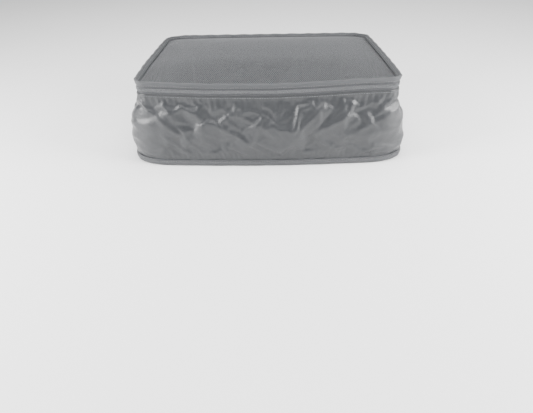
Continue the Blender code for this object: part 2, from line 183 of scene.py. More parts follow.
def soften(co):
    """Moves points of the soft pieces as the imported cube's own softness does: the front bows and its
    rim sags, the base spreads at both sides, and the rim's back corners pull in. The right side stays
    straight at the zip, where the sliders run, and so does the hinge's line."""
    x, y, z = co[:, 0].copy(), co[:, 1].copy(), co[:, 2].copy()
    hx, hy = RIM_HALF
    up = smooth(z / RIM_HIGH.z)
    front = smooth((-y - 0.25 * hy) / (0.75 * hy))
    left = smooth((-x - 0.4 * hx) / (0.6 * hx))
    along_x = np.cos(np.clip(x / (2.05 * hx), -0.5, 0.5) * math.pi)
    sag_x = np.cos(np.clip((x - SAG_MIDDLE) / (2.3 * hx), -0.5, 0.5) * math.pi) ** 2
    along_y = np.cos(np.clip(y / (2.05 * hy), -0.5, 0.5) * math.pi)
    out = co.copy()
    out[:, 1] -= FRONT_BOW * front * along_x
    out[:, 0] -= LEFT_BOW * left * along_y
    wave = np.sin(x / (11 * MM) + 1.3) * 0.5 + np.sin(x / (23 * MM)) + np.sin(y / (17 * MM) + 0.6)
    drop = RIM_SAG * front * sag_x + LEFT_SAG * left * along_y
    drop = drop + RIM_WAVE * 0.4 * wave * np.maximum(front * along_x, left * along_y)
    out[:, 2] -= drop * up**2
    corner = smooth((y - BACK_CORNER_START) / (hy - BACK_CORNER_START))
    corner = corner * smooth((np.abs(x) - 0.8 * hx) / (0.2 * hx)) * up**2
    top = np.where(x < 0, LEFT_SPREAD_TOP, RIGHT_SPREAD_TOP)
    low = 1 - smooth(2 * z / top - 1)
    out[:, 0] += np.sign(x) * SIDE_SPREAD * low * smooth((np.abs(x) - SPREAD_START) / SPREAD_EASE)
    out[:, 0] -= np.sign(x) * BACK_CORNER_PULL * corner
    out[:, 1] -= BACK_CORNER_PULL * BACK_CORNER_PULL_Y * corner
    return out


def wall_share(z):
    """0 at the base outline and 1 at the rim outline, straight in the base binding and the zip."""
    return np.clip((z - BASE_BAND_Z) / (TAPE_BOTTOM_Z - BASE_BAND_Z), 0.0, 1.0)


def wall_points(stations, z, out):
    """Points of the wall at heights z, moved outwards by out. stations are the base's and the rim's
    plan arrays, and z and out are (rows, stations) arrays."""
    (base, normal, share), (rim, _, _) = stations
    k = wall_share(z)
    along = CORNER_BULGE + (1 - CORNER_BULGE) * np.sin(math.pi * share)
    bulge = BULGE * along * np.sin(math.pi * k) ** 0.8
    away = (out + bulge - 0.3 * MM * k)[..., None]
    flat = base + (rim - base) * k[..., None] + normal * away
    return np.concatenate([flat, z[..., None]], axis=-1)


# ---------------------------------------------------------------- meshes


def new_object(name, mesh):
    obj = bpy.data.objects.new(name, mesh)
    bpy.context.scene.collection.objects.link(obj)
    return obj


def mesh_object(name, co, faces, uv):
    """An object from arrays. uv holds a (u, v) in metres for each corner of each face."""
    mesh = bpy.data.meshes.new(name)
    mesh.from_pydata([tuple(p) for p in co], [], [tuple(int(i) for i in f) for f in faces])
    layer = mesh.uv_layers.new(name="cloth")
    layer.data.foreach_set("uv", np.asarray(uv, np.float32).ravel())
    mesh.shade_smooth()
    mesh.update()
    return new_object(name, mesh)


def grid_faces(rows, columns, wrap_columns=False, wrap_rows=False):
    """Quads of a grid of points in row order, and the (row, column) of each corner, not wrapped."""
    faces, corners = [], []
    for r in range(rows if wrap_rows else rows - 1):
        for c in range(columns if wrap_columns else columns - 1):
            cell = [(r, c), (r, c + 1), (r + 1, c + 1), (r + 1, c)]
            faces.append([(i % rows) * columns + (j % columns) for i, j in cell])
            corners.append(cell)
    return faces, np.array(corners)


def grid_object(name, points, along, across, wrap_columns=False, wrap_rows=False):
    """A grid mesh from (rows, columns, 3) points. along and across are the cloth's own distances
    for each column and row, one more than the points where the grid wraps."""
    rows, columns = points.shape[:2]
    faces, corners = grid_faces(rows, columns, wrap_columns, wrap_rows)
    uv = np.stack([along[corners[..., 1]], across[corners[..., 0]]], axis=-1)
    return mesh_object(name, points.reshape(-1, 3), faces, uv)


def apply_modifiers(obj):
    """Replaces the object's mesh by what its modifiers make of it."""
    graph = bpy.context.evaluated_depsgraph_get()
    made = bpy.data.meshes.new_from_object(obj.evaluated_get(graph), depsgraph=graph)
    obj.modifiers.clear()
    obj.data = made
    return obj


def sweep(name, section, step, closed=False, past_seam=0.0, shape=None):
    """A closed section of (outwards, height) points carried round the rim and softened. shape, if
    given, takes (section, plan points) and returns the section at every station. past_seam is how
    far an open one runs on behind the back wall."""
    points, normals, _ = plan(RIM_HALF, RIM_RADIUS, step, closed)
    if past_seam:
        first = [(-SEAM_X + past_seam, RIM_HALF[1])]
        last = [(SEAM_X - past_seam, RIM_HALF[1])]
        points = np.concatenate([first, points, last])
        normals = np.concatenate([normals[:1], normals, normals[-1:]])
    return sweep_on(name, section, points, normals, closed, shape)


def sweep_on(name, section, points, normals, closed, shape=None):
    """The sweep itself, on any plan path."""
    section = np.asarray(section, float)
    shaped = np.repeat(section[:, None, :], len(points), axis=1)
    if shape is not None:
        shaped = shape(shaped, points)
    flat = points[None] + normals[None] * shaped[..., :1]
    co = np.concatenate([flat, shaped[..., 1:]], axis=-1)
    co = soften(co.reshape(-1, 3)).reshape(co.shape)
    along = lengths_along(points, closed)
    across = lengths_along(section, closed=True)
    obj = grid_object(name, co, along, across, wrap_columns=closed, wrap_rows=True)
    if not closed:
        cap_ends(obj)
    outward(obj)
    return obj


def cap_ends(obj):
    """Closes the open ends of a mesh."""
    bm = bmesh.new()
    bm.from_mesh(obj.data)
    bmesh.ops.holes_fill(bm, edges=[e for e in bm.edges if e.is_boundary], sides=0)
    bm.to_mesh(obj.data)
    bm.free()


def outward(obj):
    """Turns a closed mesh's faces outwards."""
    bm = bmesh.new()
    bm.from_mesh(obj.data)
    bmesh.ops.recalc_face_normals(bm, faces=bm.faces)
    bm.to_mesh(obj.data)
    bm.free()


def rounded(points, radius, steps=4):
    """A closed polygon of (outwards, height) points with its corners rounded."""
    points = np.asarray(points, float)
    made = []
    for i, point in enumerate(points):
        before, after = points[i - 1] - point, points[(i + 1) % len(points)] - point
        room = 0.45 * min(np.linalg.norm(before), np.linalg.norm(after))
        cut = min(radius, room)
        a = point + before / np.linalg.norm(before) * cut
        b = point + after / np.linalg.norm(after) * cut
        for k in range(steps + 1):
            t = k / steps
            made.append(a * (1 - t) ** 2 + 2 * point * t * (1 - t) + b * t**2)
    return np.array(made)


# ---------------------------------------------------------------- materials


class Nodes:
    """A short way to write a node tree: call it with a type, its settings and its inputs."""

    def __init__(self, material):
        self.tree = material.node_tree
        self.shader = self.tree.nodes["Principled BSDF"]

    def add(self, kind, inputs=None, **settings):
        node = self.tree.nodes.new(kind)
        for name, value in settings.items():
            setattr(node, name, value)
        for key, value in (inputs or {}).items():
            if isinstance(value, bpy.types.NodeSocket):
                self.tree.links.new(value, node.inputs[key])
            else:
                node.inputs[key].default_value = value
        return node

    def math(self, operation, *values):
        inputs = dict(enumerate(values))
        return self.add("ShaderNodeMath", inputs, operation=operation).outputs[0]

    def link(self, socket, name):
        self.tree.links.new(socket, self.shader.inputs[name])

    def cloth(self):
        """The cloth's own coordinates, along and across, in metres."""
        uv = self.add("ShaderNodeUVMap", uv_map="cloth").outputs[0]
        split = self.add("ShaderNodeSeparateXYZ", {0: uv})
        return split.outputs[0], split.outputs[1]

    def place(self):
        return self.add("ShaderNodeTexCoord").outputs["Object"]

    def noise(self, scale, detail=3.0, roughness=0.5):
        settings = {"Vector": self.place(), "Scale": scale, "Detail": detail, "Roughness": roughness}
        return self.add("ShaderNodeTexNoise", settings).outputs[0]

    def spread(self, value, low, high, from_low=0.3, from_high=0.7):
        inputs = {0: value, 1: from_low, 2: from_high, 3: low, 4: high}
        return self.add("ShaderNodeMapRange", inputs).outputs[0]

    def wave(self, value, pitch):
        """A sine of that pitch in metres."""
        return self.math("SINE", self.math("MULTIPLY", value, 2 * math.pi / pitch))

    def tint(self, colour, value, strength):
        """The colour, lighter and darker with a value that is about 0.5."""
        low = [c * (1 - strength) for c in colour] + [1]
        high = [c * (1 + strength) for c in colour] + [1]
        mix = self.add("ShaderNodeMix", {0: value, 6: low, 7: high}, data_type="RGBA")
        self.link(mix.outputs[2], "Base Color")

    def bumps(self, *layers):
        """Chained bumps of (height, distance in metres, strength)."""
        normal = None
        for height, distance, strength in layers:
            inputs = {"Height": height, "Distance": distance, "Strength": strength}
            node = self.add("ShaderNodeBump", inputs)
            if normal is not None:
                self.tree.links.new(normal, node.inputs["Normal"])
            normal = node.outputs[0]
        self.link(normal, "Normal")


def material(name, roughness, metallic=0.0, **inputs):
    made = bpy.data.materials.new(name)
    made.use_nodes = True
    nodes = Nodes(made)
    nodes.shader.inputs["Roughness"].default_value = roughness
    nodes.shader.inputs["Metallic"].default_value = metallic
    for key, value in inputs.items():
        nodes.shader.inputs[key.replace("_", " ")].default_value = value
    return made, nodes


NYLON = (0.03, 0.0315, 0.034)
BINDING = (0.056, 0.058, 0.062)
STRAND = (0.13, 0.134, 0.14)
TAPE = (0.06, 0.062, 0.066)
COIL = (0.2, 0.205, 0.214)
THREAD = (0.12, 0.124, 0.13)
ENAMEL = (0.07, 0.07, 0.074)
RUBBER = (0.035, 0.035, 0.038)


def nylon():
    made, n = material("nylon", 0.34, Specular_IOR_Level=0.5, Sheen_Weight=0.03, Sheen_Roughness=0.4)
    u, v = n.cloth()
    weave = n.math("ADD", n.wave(u, 0.5 * MM), n.wave(v, 0.42 * MM))
    ripple = n.noise(130, 4, 0.55)
    crinkle = n.noise(420, 3, 0.6)
    n.tint(NYLON, n.noise(38, 3), 0.07)
    n.link(n.spread(n.noise(45, 2), 0.22, 0.46, 0.0, 1.0), "Roughness")
    n.bumps((ripple, 0.9 * MM, 0.35), (crinkle, 0.3 * MM, 0.3), (weave, 0.03 * MM, 0.3))
    return made


def binding():
    made, n = material(
        "binding_cloth", 0.6, Specular_IOR_Level=0.4, Sheen_Weight=0.08, Sheen_Roughness=0.5
    )
    u, v = n.cloth()
    ribs = n.wave(n.math("ADD", u, n.math("MULTIPLY", v, 0.7)), 0.75 * MM)
    cross = n.wave(v, 0.5 * MM)
    n.tint(BINDING, n.spread(n.math("ADD", ribs, n.noise(900, 2)), 0.2, 0.8, -1.0, 2.0), 0.22)
    n.bumps((n.noise(260, 3), 0.5 * MM, 0.3), (ribs, 0.09 * MM, 0.7), (cross, 0.04 * MM, 0.5))
    return made


def tape():
    made, n = material(
        "zip_tape_cloth", 0.65, Specular_IOR_Level=0.4, Sheen_Weight=0.08, Sheen_Roughness=0.5
    )
    u, v = n.cloth()
    zigzag = n.math("PINGPONG", v, 1.1 * MM)
    ribs = n.wave(n.math("ADD", u, zigzag), 0.62 * MM)
    n.tint(TAPE, n.spread(ribs, 0.2, 0.8, -1.0, 1.0), 0.2)
    n.bumps((ribs, 0.07 * MM, 0.7), (n.wave(v, 0.4 * MM), 0.03 * MM, 0.5))
    return made


def strand():
    made, n = material("mesh_strand", 0.5, Specular_IOR_Level=0.45, Sheen_Weight=0.08, Sheen_Roughness=0.4)
    u, v = n.cloth()
    twist = n.wave(n.math("ADD", u, v), 0.45 * MM)
    n.tint(STRAND, n.spread(twist, 0.3, 0.7, -1.0, 1.0), 0.12)
    n.bumps((twist, 0.05 * MM, 0.6))
    return made


def coil():
    made, n = material("zip_coil_nylon", 0.32, Coat_Weight=0.15)
    n.tint(COIL, n.noise(500, 2), 0.12)
    n.link(n.spread(n.noise(700, 2), 0.22, 0.44, 0.0, 1.0), "Roughness")
    n.bumps((n.noise(2500, 2), 0.04 * MM, 0.3))
    return made


def thread():
    made, n = material("thread", 0.55, Sheen_Weight=0.3)
    u, v = n.cloth()
    ply = n.wave(n.math("ADD", u, n.math("MULTIPLY", v, 2.0)), 0.35 * MM)
    n.tint(THREAD, n.spread(ply, 0.2, 0.8, -1.0, 1.0), 0.2)
    n.bumps((ply, 0.05 * MM, 0.6))
    return made


def enamel():
    made, n = material("slider_enamel", 0.3, metallic=0.85, Coat_Weight=0.25)
    n.tint(ENAMEL, n.noise(300, 3), 0.15)
    n.link(n.spread(n.noise(900, 4), 0.17, 0.47, 0.0, 1.0), "Roughness")
    n.bumps((n.noise(1800, 3), 0.03 * MM, 0.25))
    return made


def rubber():
    made, n = material("pull_rubber_moulded", 0.55)
    n.tint(RUBBER, n.noise(400, 3), 0.12)
    n.link(n.spread(n.noise(1500, 3), 0.42, 0.72, 0.0, 1.0), "Roughness")
    n.bumps((n.noise(3200, 2), 0.03 * MM, 0.4))
    return made


def plain(name, colour, roughness):
    made, n = material(name, roughness)
    n.shader.inputs["Base Color"].default_value = (*colour, 1)
    return made


MATERIALS = {
    "nylon": nylon(),
    "binding": binding(),
    "zip_tape": tape(),
    "mesh": strand(),
    "zip_coil": coil(),
    "thread": thread(),
    "slider_metal": enamel(),
    "pull_rubber": rubber(),
}


def finish_piece(obj, slot, body=None, nodes=()):
    """Gives a piece the material for its slot, puts it on its body, and hides the solids that it stands for."""
    obj.data.materials.clear()
    obj.data.materials.append(MATERIALS[slot])
    if body:
        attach(obj, body)
    if nodes:
        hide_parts(*nodes)
    return obj


# ---------------------------------------------------------------- the walls


def wall_stations(step, back=False):
    base = plan(BASE_HALF, BASE_RADIUS, step, back_only=back)
    rim = plan(RIM_HALF, RIM_RADIUS, step, back_only=back)
    return base, rim


def ridge(x, z, a, b, height, width):
    """A crease along the segment from a to b, crisp in the middle and fading at its ends."""
    a, b = np.array(a) * MM, np.array(b) * MM
    run = b - a
    t = ((x - a[0]) * run[0] + (z - a[1]) * run[1]) / (run @ run)
    inside = np.clip(t, 0.0, 1.0)
    d = np.hypot(x - a[0] - inside * run[0], z - a[1] - inside * run[1])
    fade = smooth(4 * np.minimum(t + 0.12, 1.12 - t))
    return height * MM * fade * np.exp(-np.sqrt((d / (width * MM)) ** 2 + 0.06) + 0.245)


FRONT_CREASES = [
    # from, to (x, z), height, width, in millimetres on the front wall
    ((-46, 74), (-8, 58), 2.4, 7),
    ((-8, 58), (36, 50), 2.6, 7),
    ((36, 50), (38, 84), 1.6, 5),
    ((-62, 60), (-46, 74), 1.2, 6),
    ((12, 18), (40, 46), 1.6, 6),
    ((40, 46), (68, 84), 2.0, 6),
    ((52, 40), (84, 76), -1.5, 5),
    ((62, 48), (98, 66), 2.1, 7),
    ((98, 66), (106, 84), 1.5, 6),
    ((78, 22), (108, 44), 1.0, 5),
    ((-140, 66), (-116, 40), 1.3, 5),
    ((-116, 40), (-112, 18), 1.2, 5),
    ((-140, 30), (-118, 48), 1.1, 4),
    ((-128, 62), (-94, 52), -0.9, 5),
    ((-94, 52), (-60, 36), 0.8, 6),
    ((-124, 20), (-70, 18), 0.7, 4),
    ((30, 12), (50, 20), 1.4, 4),
    ((50, 20), (56, 10), 1.0, 4),
    ((50, 19), (100, 24), 0.8, 5),
    ((-150, 16), (-124, 10), 1.4, 4),
    ((124, 14), (152, 24), 1.5, 4),
    ((118, 50), (150, 64), 1.0, 6),
    ((122, 72), (146, 40), 0.9, 6),
]

OTHER_CREASES = [
    # the same for the other three walls, along each wall from its middle
    ((-70, 70), (-20, 34), 1.8, 7),
    ((-20, 34), (44, 26), 1.3, 7),
    ((24, 80), (52, 40), 1.6, 6),
    ((52, 40), (88, 22), 1.3, 6),
    ((-96, 28), (-58, 14), 1.2, 5),
    ((-88, 78), (-76, 48), 1.2, 5),
    ((74, 80), (92, 58), 1.1, 5),
]


FRONT_CREASE_GAIN = 1.25
FOLD_HEIGHT = 2.6 * MM
RUMPLE_HEIGHT = 1.5 * MM
PUCKER_HEIGHT = 1.1 * MM
PUCKER_REACH = 5 * MM
FLAT_EDGE = 12 * MM  # over this distance from the seams the creases fade out


def creases(s, z, table, flip=1):
    total = np.zeros_like(z)
    for a, b, height, width in table:
        total = total + ridge(flip * s, z, a, b, height, width)
    return total


def noise_field(s, z, scale, seed):
    """Smooth noise from about -0.5 to 0.5 at cloth distances s and z."""
    flat = zip(s.ravel() / scale, z.ravel() / scale)
    made = [noise.noise(Vector((a, b, seed))) for a, b in flat]
    return np.array(made).reshape(s.shape)


def wrinkles(points, normals, z, seed):
    """How far the walls stand out from their smooth form, at plan points and heights."""
    x = np.broadcast_to(points[:, 0], z.shape)
    y = np.broadcast_to(points[:, 1], z.shape)
    front = smooth((-normals[:, 1] - 0.4) / 0.5)
    back = smooth((normals[:, 1] - 0.4) / 0.5)
    left = smooth((-normals[:, 0] - 0.4) / 0.5)
    right = smooth((normals[:, 0] - 0.4) / 0.5)
    total = FRONT_CREASE_GAIN * front * creases(x, z, FRONT_CREASES)
    total = total + back * creases(x, z, OTHER_CREASES, -1)
    total = total + left * creases(y, z, OTHER_CREASES) + right * creases(y, z, OTHER_CREASES, -1)
    s = np.broadcast_to(lengths_along(points), z.shape)
    folds = noise_field(s + 0.6 * z, z, 26 * MM, seed)
    calm = 1 - 0.45 * front
    total = total + FOLD_HEIGHT * calm * (0.5 - np.abs(folds) * 2.2)
    total = total + RUMPLE_HEIGHT * calm * noise_field(s - 0.8 * z, z, 13 * MM, seed + 7)
    below_hem, above_base = STITCH_LINE_Z - z, z - BASE_BAND_Z
    free = smooth((above_base - 1 * MM) / FLAT_EDGE) * smooth(below_hem / FLAT_EDGE)
    total = total * free
    pucker = noise_field(s, 0.25 * z, 4.2 * MM, seed + 3) + 0.5 * np.sin(s / (1.15 * MM))
    top = np.exp(-np.maximum(below_hem, 0) / PUCKER_REACH) * smooth(below_hem / (1.5 * MM))
    low = np.exp(-np.maximum(above_base, 0) / PUCKER_REACH) * smooth(above_base / (1.5 * MM))
    return total + PUCKER_HEIGHT * pucker * (top + 0.8 * low)


def wall_grid(stations, top, seed, step=WALL_STEP):
    """Rows of the wall's surface from inside the base binding to its top edge."""
    rows = max(8, round((top - WALL_FOOT) / step))
    heights = np.linspace(WALL_FOOT, top, rows)
    z = np.repeat(heights[:, None], len(stations[0][0]), axis=1)
    out = wrinkles(stations[1][0], stations[1][1], z, seed)
    return wall_points(stations, z, out), z


def simulate(obj, free, frames):
    """Lets a pinned sheet grow a little, so that it buckles, and keeps the shape."""
    group = obj.vertex_groups.new(name="held")
    for i, value in enumerate(free):
        group.add([i], float(1 - value), "REPLACE")
    cloth = obj.modifiers.new("cloth", "CLOTH")
    settings = cloth.settings
    settings.quality = 6
    settings.mass = 0.12
    settings.tension_stiffness = 25
    settings.compression_stiffness = 25
    settings.shear_stiffness = 12
    settings.bending_stiffness = 0.35
    settings.air_damping = 4
    settings.vertex_group_mass = "held"
    settings.shrink_min = WALL_GROWTH
    settings.effector_weights.gravity = 0
    settings.use_pressure = True
    settings.uniform_pressure_force = 0.25
    cloth.point_cache.frame_start = 1
    cloth.point_cache.frame_end = frames
    for number in range(1, frames + 1):
        bpy.context.scene.frame_set(number)
    return apply_modifiers(obj)


def make_wall(name, stations, top, seed, node):
    points, z = wall_grid(stations, top, seed)
    before = points.reshape(-1, 3).copy()
    along = lengths_along(stations[1][0])
    across = lengths_along(points[:, 0])
    obj = grid_object(name, points, along, across)
    low = smooth((z - BASE_BAND_Z - FREE_START) / FREE_EASE)
    high = smooth((STITCH_LINE_Z - FREE_START - z) / FREE_EASE)
    ends = np.ones_like(z)
    ends[:, [0, -1]] = 0
    simulate(obj, (low * high * ends).ravel(), SIM_FRAMES)
    limit_move(obj, before, SIM_MOST_MOVE)
    co = np.array([v.co for v in obj.data.vertices])
    obj.data.vertices.foreach_set("co", soften(co).astype(np.float32).ravel())
    detail = obj.modifiers.new("detail", "SUBSURF")
    detail.levels = detail.render_levels = 1
    solid = obj.modifiers.new("thickness", "SOLIDIFY")
    solid.thickness = WALL_THICKNESS
    solid.offset = 0
    apply_modifiers(obj)
    obj.data.shade_smooth()
    return finish_piece(obj, "nylon", "case", [node])


def limit_move(obj, before, most):
    """Keeps every point within a distance of where it was."""
    co = np.array([v.co for v in obj.data.vertices])
    move = co - before
    far = np.linalg.norm(move, axis=1, keepdims=True)
    kept = before + move * np.tanh(far / most) * most / np.maximum(far, 1e-9)
    obj.data.vertices.foreach_set("co", kept.astype(np.float32).ravel())


def make_walls():
    """Each wall is one sheet, held flat along its sewn edges."""
    wall = make_wall("wall_cloth", wall_stations(WALL_STEP), HEM_Z, 3.1, "side_gusset")
    stations = wall_stations(WALL_STEP, back=True)
    back = make_wall("back_wall_cloth", stations, BACK_TOP_Z, 9.4, "back_wall")


# ---------------------------------------------------------------- bindings, zip and thread


def base_path(step):
    base = plan(BASE_HALF, BASE_RADIUS, step, closed=True)
    return base[0], base[1]


def pull_in(heights, at, depth, width):
    """A groove's depth at each height, for the line that a row of stitches presses in."""
    return depth * np.exp(-(((heights - at) / width) ** 2))


def make_base_binding():
    outer, top = BASE_LEG, BASE_BAND_Z
    outline = [
        (-outer, 0.2 * MM), (outer * 0.6, 0.0), (outer, 1.2 * MM), (outer, top * 0.6),
        (outer * 0.75, top), (0.5 * MM, top), (-0.5 * MM, top), (-outer, top),
    ]
    section = dense(rounded(outline, 1.2 * MM), 0.6 * MM)

    def shape(shaped, points):
        x = points[:, 0]
        s = lengths_along(points, closed=True)[:-1]
        swell = 0.5 * MM * np.sin(s / (3.1 * MM)) * 0.4 + 0.35 * MM * np.sin(s / (7.7 * MM) + x * 9)
        face = smooth(shaped[..., 0] / outer) * smooth(shaped[..., 1] / (2 * MM))
        shaped[..., 0] += swell * face * 0.8
        shaped[..., 0] -= pull_in(shaped[..., 1], top - 2 * MM, 0.45 * MM, 0.7 * MM) * face
        shaped[..., 0] += pull_in(shaped[..., 1], top * 0.4, 0.9 * MM, 2.4 * MM) * face
        return shaped

    points, normals = base_path(2 * MM)
    obj = sweep_on("base_binding_cloth", section, points, normals, True, shape)
    finish_piece(obj, "binding", "case", ["base_binding"])


def make_base_panel():
    """The flat bottom: rings from just inside the walls to a small one at the middle."""
    points, normals = base_path(3 * MM)
    shares = np.linspace(1.0, 0.04, 34)
    rings = []
    for height in (0.25 * MM, 1.15 * MM):
        rim = points - normals * 1.9 * MM
        flat = rim[None] * shares[:, None, None]
        z = np.full(flat.shape[:2] + (1,), height)
        rings.append(np.concatenate([flat, z], axis=-1))
    top, under = rings[1], rings[0][::-1]
    x, y = top[..., 0], top[..., 1]
    waves = noise_field(x, y, 30 * MM, 5.5) + 0.4 * noise_field(x, y, 11 * MM, 2.5)
    top[..., 2] += 0.5 * MM * np.maximum(waves + 0.2, 0) * smooth((1 - shares)[:, None] / 0.15)
    grid = np.concatenate([top[::-1], under[::-1]], axis=0)
    rows, columns = len(grid), len(points)
    co = soften(grid.reshape(-1, 3))
    faces, _ = grid_faces(rows, columns, wrap_columns=True)
    faces.append(list(range(columns)))
    faces.append([(rows - 1) * columns + i for i in range(columns)][::-1])
    flat_uv = [(co[i][0], co[i][1]) for face in faces for i in face]
    obj = mesh_object("base_panel_cloth", co, faces, flat_uv)
    outward(obj)
    finish_piece(obj, "nylon", "case", ["base_panel"])


def dense(section, step):
    """A closed section with extra points, so that no side is longer than a step."""
    made = []
    for i, point in enumerate(section):
        after = section[(i + 1) % len(section)]
        count = max(1, math.ceil(np.linalg.norm(after - point) / step))
        made += [point + (after - point) * k / count for k in range(count)]
    return np.array(made)


SIDE_LEAN = 38
FRONT_LEAN = 8
BACK_LEAN = 4


def lean_at(points):
    """How far the lid's binding leans out at each plan point, in radians."""
    hx, hy = RIM_HALF
    side = smooth((np.abs(points[:, 0]) - (hx - 10 * MM)) / (10 * MM))
    middle = np.cos(np.clip(points[:, 1] / (2.4 * hy), -0.5, 0.5) * math.pi)
    front = smooth(-points[:, 1] / hy)
    rest = FRONT_LEAN * front + BACK_LEAN * (1 - front)
    return np.radians(rest + (SIDE_LEAN * middle - rest) * side)


def leaned(shaped, points):
    """Turns a section about the bottom of the binding's outer face."""
    lean = lean_at(points)[None]
    out, up = shaped[..., 0].copy(), shaped[..., 1] - RIM_LOW.z
    shaped[..., 0] = out * np.cos(lean) + up * np.sin(lean)
    shaped[..., 1] = RIM_LOW.z + up * np.cos(lean) - out * np.sin(lean)
    return shaped


BINDING_THICK = 3.2 * MM


def make_lid_binding():
    low, high = RIM_LOW.z, RIM_HIGH.z
    outline = [
        (0.0, low + 0.2 * MM), (0.15 * MM, low + 3 * MM), (0.0, high - 0.4 * MM), (-1.4 * MM, high),
        (-BINDING_THICK, high - 0.8 * MM), (-BINDING_THICK - 0.3 * MM, low + 3 * MM),
        (-BINDING_THICK - 0.6 * MM, low + 0.2 * MM),
    ]
    section = dense(rounded(outline, 0.9 * MM), 0.6 * MM)

    def shape(shaped, points):
        s = lengths_along(points, closed=True)[:-1]
        ripple = 0.22 * MM * np.sin(s / (2.3 * MM)) + 0.3 * MM * np.sin(s / (6.1 * MM) + 1)
        outer = smooth((shaped[..., 0] + 1 * MM) / (1 * MM))
        inner = 1 - smooth((shaped[..., 0] + BINDING_THICK) / (1 * MM))
        above = smooth((shaped[..., 1] - low - 1 * MM) / (5 * MM))
        groove = pull_in(shaped[..., 1], low + 1.6 * MM, 0.35 * MM, 0.6 * MM)
        shaped[..., 0] += ripple * above - groove * outer + groove * inner
        shaped[..., 1] += 0.25 * MM * np.sin(s / (4.3 * MM)) * above
        return leaned(shaped, points)

    obj = sweep("lid_binding_cloth", section, 2 * MM, closed=True, shape=shape)
    finish_piece(obj, "binding", "lid", ["lid_binding"])


def make_tapes():
    middle = -(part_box("lid_binding")[1].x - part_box("upper_zip_tape")[1].x) - 0.4 * MM
    half = 0.35 * MM
    for name, low, high, body in (
        ("lower_zip_tape", TAPE_BOTTOM_Z + 2 * MM, LOWER_CHAIN[1].z - 0.2 * MM, "case"),
        ("upper_zip_tape", UPPER_CHAIN[0].z + 0.2 * MM, RIM_LOW.z + 3 * MM, "lid"),
    ):
        inner, outer = middle - half, middle + half
        outline = [(inner, low), (outer, low), (outer, high), (inner, high)]
        section = dense(rounded(outline, 0.2 * MM, 2), 1.5 * MM)
        obj = sweep(name + "_cloth", section, 2.5 * MM, past_seam=3 * MM)
        finish_piece(obj, "zip_tape", body, [name])


TOOTH_PITCH = 1.25 * MM
TURN_STEPS = 10
WIRE = 0.36 * MM
WIRE_SIDES = 5
COIL_REACH = 1.25 * MM  # from a coil's middle to the centre of its wire
COIL_MESHING = 0.42 * MM  # how far each coil reaches past the chain's middle


def coil_line(chain, body_sign):
    """The centre line of a coil: an open spiral with flat sides round the zip tape's edge."""
    points, normals, _ = plan(RIM_HALF, RIM_RADIUS, 0.5 * MM)
    keep = ~((points[:, 1] > 0) & (np.abs(points[:, 0]) < TAB_X))
    points, normals = points[keep], normals[keep]
    s = lengths_along(points)
    count = int(s[-1] / TOOTH_PITCH * TURN_STEPS)
    at = np.linspace(0, s[-1], count)
    path = np.stack([np.interp(at, s, points[:, i]) for i in (0, 1)], axis=1)
    normal = np.stack([np.interp(at, s, normals[:, i]) for i in (0, 1)], axis=1)
    normal /= np.linalg.norm(normal, axis=1, keepdims=True)
    turn = at / TOOTH_PITCH * 2 * math.pi + (math.pi if body_sign > 0 else 0)
    depth = chain[1].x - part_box("upper_zip_tape")[1].x
    middle = chain[1].x - RIM_HALF[0] - depth / 2
    half_out = depth / 2 - WIRE
    centre_z = CHAIN_Z + body_sign * (COIL_REACH - COIL_MESHING)
    out = middle + half_out * np.cos(turn)
    flatness = 1.6
    up = centre_z + COIL_REACH * np.tanh(flatness * np.sin(turn)) / math.tanh(flatness)
    flat = path + normal * out[:, None]
    return soften(np.concatenate([flat, up[:, None]], axis=1))


def tube(name, line, radius, sides):
    """A closed tube round a line of points."""
    tangent = np.gradient(line, axis=0)
    tangent /= np.linalg.norm(tangent, axis=1, keepdims=True)
    up = np.broadcast_to([0.0, 0.0, 1.0], line.shape)
    side = np.cross(tangent, up)
    short = np.linalg.norm(side, axis=1) < 0.2
    side[short] = np.cross(tangent[short], [1.0, 0.0, 0.0])
    side /= np.linalg.norm(side, axis=1, keepdims=True)
    other = np.cross(side, tangent)
    rings = []
    for i in range(sides):
        a = 2 * math.pi * i / sides
        rings.append(line + radius * (math.cos(a) * side + math.sin(a) * other))
    points = np.stack(rings)
    along = lengths_along(line)
    across = np.arange(sides + 1) * 2 * math.pi * radius / sides
    obj = grid_object(name, points, along, across, wrap_rows=True)
    cap_ends(obj)
    outward(obj)
    return obj


def make_coils():
    for name, chain, body, sign in (
        ("lower_zip_coil", LOWER_CHAIN, "case", -1),
        ("upper_zip_coil", UPPER_CHAIN, "lid", 1),
    ):
        obj = tube(name + "_spiral", coil_line(chain, sign), WIRE / 2, WIRE_SIDES)
        finish_piece(obj, "zip_coil", body, [name])


STITCH = 2.3 * MM
STITCH_GAP = 0.7 * MM
THREAD_RADIUS = 0.2 * MM
STITCH_STEPS = 6
STITCH_SIDES = 6
STITCH_LIFT = 0.14 * MM
STITCH_DIP = 0.3 * MM


def stitch_rings(bm, core, away):
    """The rings of one stitch's tube, thinner at both ends, which dip into the cloth."""
    run = core[-1] - core[0]
    run /= np.linalg.norm(run)
    side = np.cross(run, away)
    t = np.linspace(-1, 1, STITCH_STEPS + 1)
    thick = THREAD_RADIUS * np.sqrt(np.maximum(1 - t**6, 0.08))
    core = core + away * (STITCH_LIFT - STITCH_DIP * t**4)[:, None]
    rings = []
    for i in range(STITCH_STEPS + 1):
        ring = []
        for k in range(STITCH_SIDES):
            a = 2 * math.pi * k / STITCH_SIDES
            p = core[i] + thick[i] * (math.cos(a) * away[i] + math.sin(a) * side[i])
            ring.append(bm.verts.new(p))
        rings.append(ring)
    return rings


